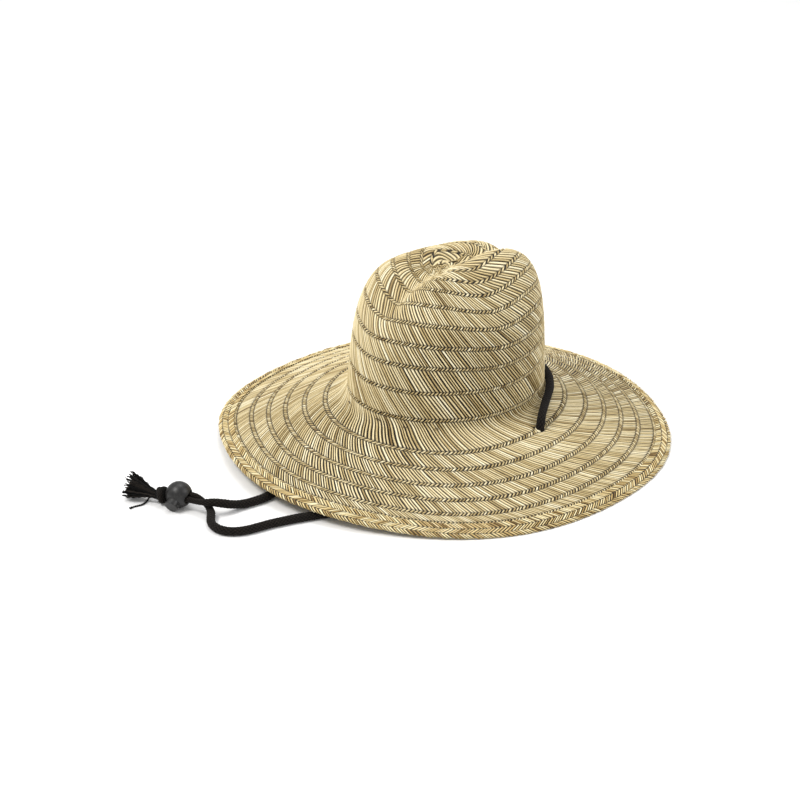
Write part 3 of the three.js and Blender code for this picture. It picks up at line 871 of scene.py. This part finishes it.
def solid(name, points, faces, material):
    """A piece of the lock, welded, with its faces turned outwards."""
    piece = mesh_piece(name, from_lock(points), faces, material)
    mesh = piece.data
    work = bmesh.new()
    work.from_mesh(mesh)
    bmesh.ops.remove_doubles(work, verts=work.verts, dist=1e-7)
    bmesh.ops.recalc_face_normals(work, faces=work.faces)
    work.to_mesh(mesh)
    work.free()
    return piece


def rounded_bar(radius, low, high, corner=0.01, sides=64):
    """A round bar along the button, with a rounded upper edge."""
    inner, below = radius - corner, high - corner
    arc = np.linspace(0, math.pi / 2, 6)
    top = [(inner + corner * math.cos(a), below + corner * math.sin(a)) for a in arc]
    return lathe([(ON_AXIS, low), (radius, low)] + top + [(ON_AXIS, high)], sides)


def slot_bar(low, high, flare=0.0, sides=48):
    """A bar with rounded sides, along the cords, that spans low to high along the button.

    flare is how much wider it grows towards its ends.
    """
    turn = circle(sides)
    middle, reach = (low + high) / 2, (high - low) / 2 - SLOT_HALF_WIDTH
    y = np.sign(np.cos(turn)) * reach + SLOT_HALF_WIDTH * np.cos(turn)
    z = SLOT_HALF_WIDTH * np.sin(turn)
    x = np.array([-SLOT_REACH, -FLARE_TO, -FLARE_FROM, FLARE_FROM, FLARE_TO, SLOT_REACH])[:, None]
    grow = flare * np.array([1.6, 1, 0, 0, 1, 1.6])[:, None]
    taller, wider = 1 + grow / (reach + SLOT_HALF_WIDTH), 1 + grow / SLOT_HALF_WIDTH
    rings = vectors(x, middle + y * taller, z * wider)
    ends = vectors(x[[0, -1], 0], middle, 0)
    return np.concatenate([rings.reshape(-1, 3), ends]), capped_faces(len(x), sides)


def carve(piece, cutters):
    """Takes the cutters out of the piece, and softens the new edges."""
    for cutter in cutters:
        modifier = piece.modifiers.new("cut", "BOOLEAN")
        modifier.operation = "DIFFERENCE"
        modifier.solver = "EXACT"
        modifier.object = cutter
    bevel = piece.modifiers.new("edges", "BEVEL")
    bevel.width = EDGE_ROUNDING * MM
    bevel.segments = 3
    bevel.limit_method = "ANGLE"
    bevel.angle_limit = math.radians(SHARP_EDGE)
    graph = bpy.context.evaluated_depsgraph_get()
    mesh = bpy.data.meshes.new_from_object(piece.evaluated_get(graph))
    piece.modifiers.clear()
    old, piece.data = piece.data, mesh
    bpy.data.meshes.remove(old)
    for cutter in cutters:
        bpy.data.objects.remove(cutter)


def build_lock(plastic):
    """The ball with its bore and mouths, and the button with its slot."""
    arc = np.linspace(-math.pi / 2, math.pi / 2, 60)
    profile = [(max(BALL_RADIUS * math.cos(a), ON_AXIS), BALL_RADIUS * math.sin(a)) for a in arc]
    ball = solid("lock_ball", *lathe(profile, 96), plastic)
    cutters = {
        "bore": rounded_bar(BORE_RADIUS, BORE_FLOOR, 20),
        "pocket": rounded_bar(POCKET_RADIUS, POCKET_FLOOR, 0),
        "mouth": slot_bar(*BALL_MOUTH, flare=MOUTH_FLARE),
    }
    carve(ball, [solid("cutter_" + name, *shape, plastic) for name, shape in cutters.items()])
    bar = rounded_bar(BUTTON_RADIUS, BUTTON_FOOT, BUTTON_TOP, BUTTON_CORNER)
    button = solid("lock_button", *bar, plastic)
    carve(button, [solid("cutter_slot", *slot_bar(*BUTTON_SLOT), plastic)])
    for piece, body, node in ((ball, "lock", "lock_body"), (button, "plunger", "lock_plunger")):
        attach(piece, body)
        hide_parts(node)
    return ball, button


def knot_wrap(x, lean, major, minor):
    """One turn of cord round the knot's x axis, leaning over by an angle in degrees."""
    around, across = 72, 32
    turn = circle(around)[:, None]
    cross = circle(across)
    slope = math.tan(math.radians(lean))
    relief = braid_relief(cross, turn * major * 1.6, KNOT_LAY)
    size = minor * (0.84 + 0.16 * relief)
    radius = major + size * np.cos(cross)
    beside = x + slope * major * np.cos(turn) + size * np.sin(cross)
    points = vectors(beside, radius * np.cos(turn), radius * np.sin(turn))
    faces = np.roll(ring_faces(around, across, closed=True), -1, axis=1)
    return points.reshape(-1, 3), faces, relief.ravel()


def joined(parts):
    """Several (points, faces, relief) as one."""
    points, faces, reliefs = zip(*parts)
    starts = np.cumsum([0] + [len(part) for part in points])
    faces = [part + start for part, start in zip(faces, starts)]
    return np.concatenate(points), np.concatenate(faces), np.concatenate(reliefs)


def build_knot(cord):
    """The cord's ends are tied round themselves behind the ball."""
    core = vectors(np.linspace(4.2, -5.4, 12), 0, 0)
    parts = [knot_wrap(*wrap, KNOT_CORD) for wrap in KNOT_WRAPS]
    parts.append(yarn(core, np.full(12, 4.4), 28, 0.4))
    points, faces, relief = joined(parts)
    placed = towards(KNOT_CENTRE, LOCK_CENTRE)(points)
    piece = mesh_piece("knot", placed, faces, cord, {"relief": relief, "weave": points})
    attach(piece, "hat")
    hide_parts("cord_knot")
    return piece


def tassel_yarn(rng, place, length):
    """One crimped yarn from inside the knot out to the tassel's brush."""
    spread, turn = math.sqrt(rng.uniform(0, 1)), rng.uniform(0, TURN)
    q = np.linspace(0, 1, 22) * rng.uniform(0.74, 1.0)
    fan = spread * (TASSEL_ROOT + TASSEL_FAN * smooth(0, 1, q) ** 1.15)
    crimp = rng.uniform(0.2, 0.55) * (0.25 + q)
    phase, beat = rng.uniform(0, TURN, 2), rng.uniform(4, 7)
    y = fan * math.cos(turn) + crimp * np.sin(beat * TURN * q + phase[0])
    z = fan * math.sin(turn) + crimp * np.cos(beat * TURN * q + phase[1])
    inside = 2.6
    line = place(vectors((length + inside) * q - inside, y, z))
    line[:, 2] = np.clip(line[:, 2], TASSEL_LOW, TASSEL_HIGH)
    return yarn(line, rng.uniform(0.5, 0.82) * (1 - 0.2 * q), 6, rng.uniform(0.0, 1.0))


STRAY_YARN = [
    (-53.5, -310.3, 5), (-55.5, -311.8, 2.2), (-53.9, -315, 1.1), (-51.6, -318.8, 1),
    (-50.6, -323, 1), (-51.2, -327.4, 1), (-51.8, -331.6, 1), (-51.4, -335.4, 1),
]


def build_tassel(cord):
    """The unbraided yarns of both ends fan out behind the knot, and one strays."""
    rng = np.random.default_rng(12)
    length = (TASSEL_TIP - TASSEL_NECK).length
    place = towards(TASSEL_NECK, TASSEL_TIP)
    parts = [tassel_yarn(rng, place, length) for _ in range(TASSEL_YARNS)]
    line, along = smooth_line(STRAY_YARN, 0.5)
    beads = 0.8 + 0.22 * np.sin(along * 3.1)
    beads[-5:] += 0.25
    parts.append(yarn(line, beads, 8, 0.6))
    points, faces, relief = joined(parts)
    points[:, 2] = np.maximum(points[:, 2], LOWEST_FIBRE)
    piece = mesh_piece("tassel", points, faces, cord, {"relief": relief, "weave": points})
    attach(piece, "hat")
    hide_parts("cord_tassel")
    return piece


# ---------- the sweatband ----------
def build_sweatband(skin, cotton):
    """A folded cotton tape that follows the inside of the crown's foot, a little puckered."""
    angle = circle(720)
    pucker = 0.35 * np.sin(STITCHES * angle + 2 * np.sin(3 * angle)) + 0.3 * waves(angle, 61, 6)
    distance, lift = np.array(BAND_SECTION).T[:, :, None]
    stitched = np.exp(-(((distance - STITCH_LINE) / 3.5) ** 2))
    loose = smooth(5, 26, distance)
    inside = np.where(lift < -3.2, 1.0, 0.3)
    depth = lift + pucker * inside * (0.3 * loose + 0.5 * stitched)
    points = skin.at(*np.broadcast_arrays(angle, distance, depth))
    weave = vectors(angle * STITCHES, distance, 9.0)
    faces = ring_faces(len(BAND_SECTION), len(angle), closed=True)[:, ::-1]
    values = {"weave": weave.reshape(-1, 3)}
    piece = mesh_piece("cotton_band", points.reshape(-1, 3), faces, cotton, values)
    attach(piece, "hat")
    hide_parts("sweatband")


# Thread ends that show outside at the crown's foot: direction in degrees, length, bow.
THREAD_ENDS = ((-79, 6, 2.4), (-62, 5, -1.6), (-45, 4.5, 1.8), (-104, 4, 1.5))


def build_stitches(skin, thread):
    """Long running stitches that hold the sweatband near its lower edge, and loose ends."""
    parts = []
    arch = np.sin(np.linspace(0, math.pi, 9))
    for k in range(STITCHES):
        angle = (k + 0.5 + np.linspace(-1, 1, 9) * 0.36) * TURN / STITCHES
        distance = np.full_like(angle, STITCH_LINE + 0.15 * np.sin(5.0 * k))
        line = skin.at(angle, distance, STITCH_DEPTH - 0.5 * arch)
        parts.append(yarn(line, 0.32 + 0.1 * arch, 8, 0.0))
    q = np.linspace(-1, 1, 15)
    for at, length, bow in THREAD_ENDS:
        angle = math.radians(at) + q * length / 2 / FOOT_LENGTH
        line = skin.at(angle, 1.2 + bow * (1 - q**2) + 0.6 * np.sin(4 * q), 1.0 + 1.1 * (1 - q**2))
        parts.append(yarn(line, 0.42 - 0.1 * q**2, 8, 0.0))
    points, faces, _ = joined(parts)
    piece = mesh_piece("band_stitches", points, faces, thread)
    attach(piece, "hat")
    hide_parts("sweatband_thread")


# ---------- materials ----------
def linear(red, green, blue):
    """A colour given as it looks on a screen, 0 to 255."""

    def channel(value):
        c = value / 255
        return c / 12.92 if c <= 0.04045 else ((c + 0.055) / 1.055) ** 2.4

    return channel(red), channel(green), channel(blue), 1.0


class Shading:
    """A material's node tree, with short calls for the nodes used here."""

    def __init__(self, name):
        self.material = bpy.data.materials.new(name)
        self.material.use_nodes = True
        self.tree = self.material.node_tree

    def feed(self, node, inputs):
        """Each input is linked to a node's output, or its own value is set."""
        for key, value in inputs.items():
            if isinstance(value, bpy.types.NodeSocket):
                self.tree.links.new(value, node.inputs[key])
            else:
                node.inputs[key].default_value = value

    def node(self, kind, inputs, **settings):
        node = self.tree.nodes.new(kind)
        for key, value in settings.items():
            setattr(node, key, value)
        self.feed(node, inputs)
        return node

    def surface(self, **inputs):
        """The material, with the shader's inputs as Base_Color=..., Roughness=... and so on."""
        shader = self.tree.nodes["Principled BSDF"]
        self.feed(shader, {key.replace("_", " "): value for key, value in inputs.items()})
        return self.material

    def attribute(self, name, output="Fac"):
        return self.node("ShaderNodeAttribute", {}, attribute_name=name).outputs[output]

    def place(self):
        return self.node("ShaderNodeNewGeometry", {}).outputs["Position"]

    def math(self, operation, a, b):
        return self.node("ShaderNodeMath", {0: a, 1: b}, operation=operation).outputs[0]

    def total(self, *terms):
        """The sum of (value, weight) terms; a third number is taken from the value first."""
        total = 0.0
        for value, weight, *middle in terms:
            for number in middle:
                value = self.math("SUBTRACT", value, number)
            total = self.math("ADD", total, self.math("MULTIPLY", value, weight))
        return total

    def noise(self, vector, scale, detail=2.0, roughness=0.5):
        inputs = {"Vector": vector, "Scale": scale, "Detail": detail, "Roughness": roughness}
        return self.node("ShaderNodeTexNoise", inputs).outputs["Fac"]

    def stretched(self, vector, scale):
        return self.node("ShaderNodeMapping", {"Vector": vector, "Scale": scale}).outputs["Vector"]

    def ramp(self, factor, *stops):
        """Colours between stops (position, red, green, blue), given as for linear()."""
        node = self.node("ShaderNodeValToRGB", {"Fac": factor})
        elements = node.color_ramp.elements
        while len(elements) < len(stops):
            elements.new(0.5)
        for element, (position, *colour) in zip(elements, stops):
            element.position = position
            element.color = linear(*colour)
        return node.outputs["Color"]

    def mix(self, factor, a, b):
        inputs = {"Factor": factor, 6: a, 7: b}
        return self.node("ShaderNodeMix", inputs, data_type="RGBA").outputs[2]

    def bump(self, height, strength, distance):
        inputs = {"Height": height, "Strength": strength, "Distance": distance}
        return self.node("ShaderNodeBump", inputs).outputs["Normal"]


STRAW_TONES = ((0, 122, 98, 54), (0.3, 182, 159, 107), (0.6, 226, 207, 158), (1, 255, 245, 210))
PLAIT_TONES = ((0, 118, 90, 44), (0.3, 190, 160, 98), (0.6, 230, 207, 149), (1, 255, 243, 200))


def straw_material(name, tones):
    """Fine fibres along each strand, paler and darker patches, painted highlight on the crests, and
    painted shade in the gaps and where strands dive under.
    """
    s = Shading(name)
    weave = s.attribute("weave", "Vector")
    fibres = s.noise(s.stretched(weave, (2.6, 0.09, 1.0)), 1.0, 3.0, 0.6)
    patches = s.noise(s.stretched(weave, (0.35, 0.05, 1.0)), 1.0)
    broad = s.noise(s.place(), 14.0)
    tone = s.total(
        (s.attribute("tone"), 1.0), (fibres, 0.9, 0.5), (patches, 0.35, 0.5), (broad, 0.25, 0.5),
    )
    # painted shade: near black in the gaps between strands and where they dive under
    colour = s.mix(s.attribute("painted_shade"), s.ramp(tone, *tones), linear(14, 10, 5))
    rough = s.math("ADD", s.math("MULTIPLY", fibres, 0.25), 0.42)
    normal = s.bump(fibres, 0.35, 0.0003)
    return s.surface(Base_Color=colour, Roughness=rough, Specular_IOR_Level=0.4, Normal=normal)


def cord_material():
    """Matt black yarn, with painted highlight on the braid's raised strands, painted shade between
    them, and greyer flecks at random.
    """
    s = Shading("braided_cord")
    fibres = s.noise(s.place(), 2600.0, 2.0, 0.7)
    yarn_noise = s.noise(s.stretched(s.attribute("weave", "Vector"), (1.0, 2.2, 1.0)), 1.4)
    # painted highlight and shade: the braid's relief makes its crests greyer and its hollows black
    amount = s.total((s.attribute("relief"), 0.7), (yarn_noise, 0.6, 0.4), (fibres, 0.9, 0.5))
    return s.surface(
        Base_Color=s.ramp(amount, (0, 3, 3, 2), (0.5, 6, 5, 5), (1, 56, 49, 42)),
        Roughness=0.92, Specular_IOR_Level=0.15, Sheen_Weight=0.04, Sheen_Roughness=0.5,
        Normal=s.bump(s.math("ADD", fibres, yarn_noise), 0.6, 0.0003),
    )


def plastic_material():
    """Scuffed charcoal plastic."""
    s = Shading("charcoal_plastic")
    place = s.place()
    dust = s.noise(place, 1500.0, 3.0, 0.7)
    worn = s.total((s.noise(place, 260.0, 4.0, 0.65), 0.7), (dust, 0.3))
    return s.surface(
        Base_Color=s.ramp(worn, (0.3, 13, 13, 13), (0.52, 25, 24, 24), (0.7, 50, 48, 45)),
        Roughness=s.math("ADD", s.math("MULTIPLY", worn, 0.3), 0.26),
        Specular_IOR_Level=0.45, Normal=s.bump(dust, 0.25, 0.00012),
    )


def cotton_material():
    """Plain woven tape: threads both ways."""
    s = Shading("cotton_tape")
    weave = s.attribute("weave", "Vector")
    warp = s.noise(s.stretched(weave, (4.0, 0.4, 1.0)), 3.0)
    weft = s.noise(s.stretched(weave, (0.25, 5.0, 1.0)), 3.0)
    cloth = s.math("MULTIPLY", s.math("ADD", warp, weft), 0.5)
    return s.surface(
        Base_Color=s.ramp(cloth, (0.3, 176, 160, 128), (0.5, 204, 190, 160), (0.7, 224, 213, 188)),
        Roughness=0.92, Sheen_Weight=0.2, Normal=s.bump(cloth, 0.7, 0.0004),
    )


def thread_material():
    s = Shading("sewing_thread")
    ply = s.noise(s.place(), 1800.0)
    colour = s.ramp(ply, (0.3, 56, 45, 28), (0.7, 98, 82, 56))
    return s.surface(Base_Color=colour, Roughness=0.8, Normal=s.bump(ply, 0.5, 0.0002))


def steel_material():
    s = Shading("spring_wire")
    drawn = s.noise(s.place(), 3000.0)
    colour = s.ramp(drawn, (0.3, 150, 152, 154), (0.7, 196, 198, 200))
    rough = s.math("ADD", s.math("MULTIPLY", drawn, 0.2), 0.25)
    return s.surface(Base_Color=colour, Roughness=rough, Metallic=1.0)


# ---------- studio ----------
def add_floor():
    s = Shading("pale_floor")
    paper = s.noise(s.place(), 40.0)
    colour = s.ramp(paper, (0.3, 243.44, 243.44, 243.44), (0.7, 246.99, 246.99, 246.99))
    material = s.surface(Base_Color=colour, Roughness=0.9, Specular_IOR_Level=0.1)
    corners = np.array([(-1, -1, 0), (1, -1, 0), (1, 1, 0), (-1, 1, 0)]) * FLOOR_REACH
    floor = mesh_piece("floor", corners, np.array([[0, 1, 2, 3]]), material)


def add_softbox(name, azimuth, elevation, distance, size, power, colour):
    back = direction(VIEW_AZIMUTH + azimuth, elevation)
    data = bpy.data.lights.new(name, "AREA")
    data.shape = "DISK"
    data.size = size
    data.energy = power
    data.color = colour
    light = bpy.data.objects.new(name, data)
    light.location = back * distance + LIT_POINT
    light.rotation_mode = "QUATERNION"
    light.rotation_quaternion = back.to_track_quat("Z", "Y")
    bpy.context.collection.objects.link(light)


def add_studio():
    world = bpy.data.worlds.new("studio")
    world.use_nodes = True
    background = world.node_tree.nodes["Background"]
    background.inputs["Color"].default_value = (1, 1, 1, 1)
    background.inputs["Strength"].default_value = WORLD_STRENGTH
    bpy.context.scene.world = world
    for softbox in SOFTBOXES:
        add_softbox(*softbox)
    bpy.context.scene.view_settings.view_transform = "Standard"


def main():
    add_camera()
    cord = cord_material()
    for name, side, route, node, seed in (
        ("cord_left", -1, CORD_LEFT, "chin_cord_left", 3),
        ("cord_right", 1, CORD_RIGHT, "chin_cord_right", 4),
    ):
        route = through_lock(side) + route
        build_cord(name, route, free_cord_radius, cord, node, seed)
    back, back_line, back_length = build_cord(
        "cord_back", CORD_BACK, full_cord_radius, cord, "chin_cord_back", 5,
    )
    ball, button = build_lock(plastic_material())
    knot = build_knot(cord)
    tassel = build_tassel(cord)
    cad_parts["lock_spring"].data.materials[0] = steel_material()

    skin = Skin()
    build_straw(skin, straw_material("rush_straw", STRAW_TONES))
    build_rim(straw_material("plaited_straw", PLAIT_TONES))
    build_sweatband(skin, cotton_material())
    build_stitches(skin, thread_material())
    add_floor()
    add_studio()


main()
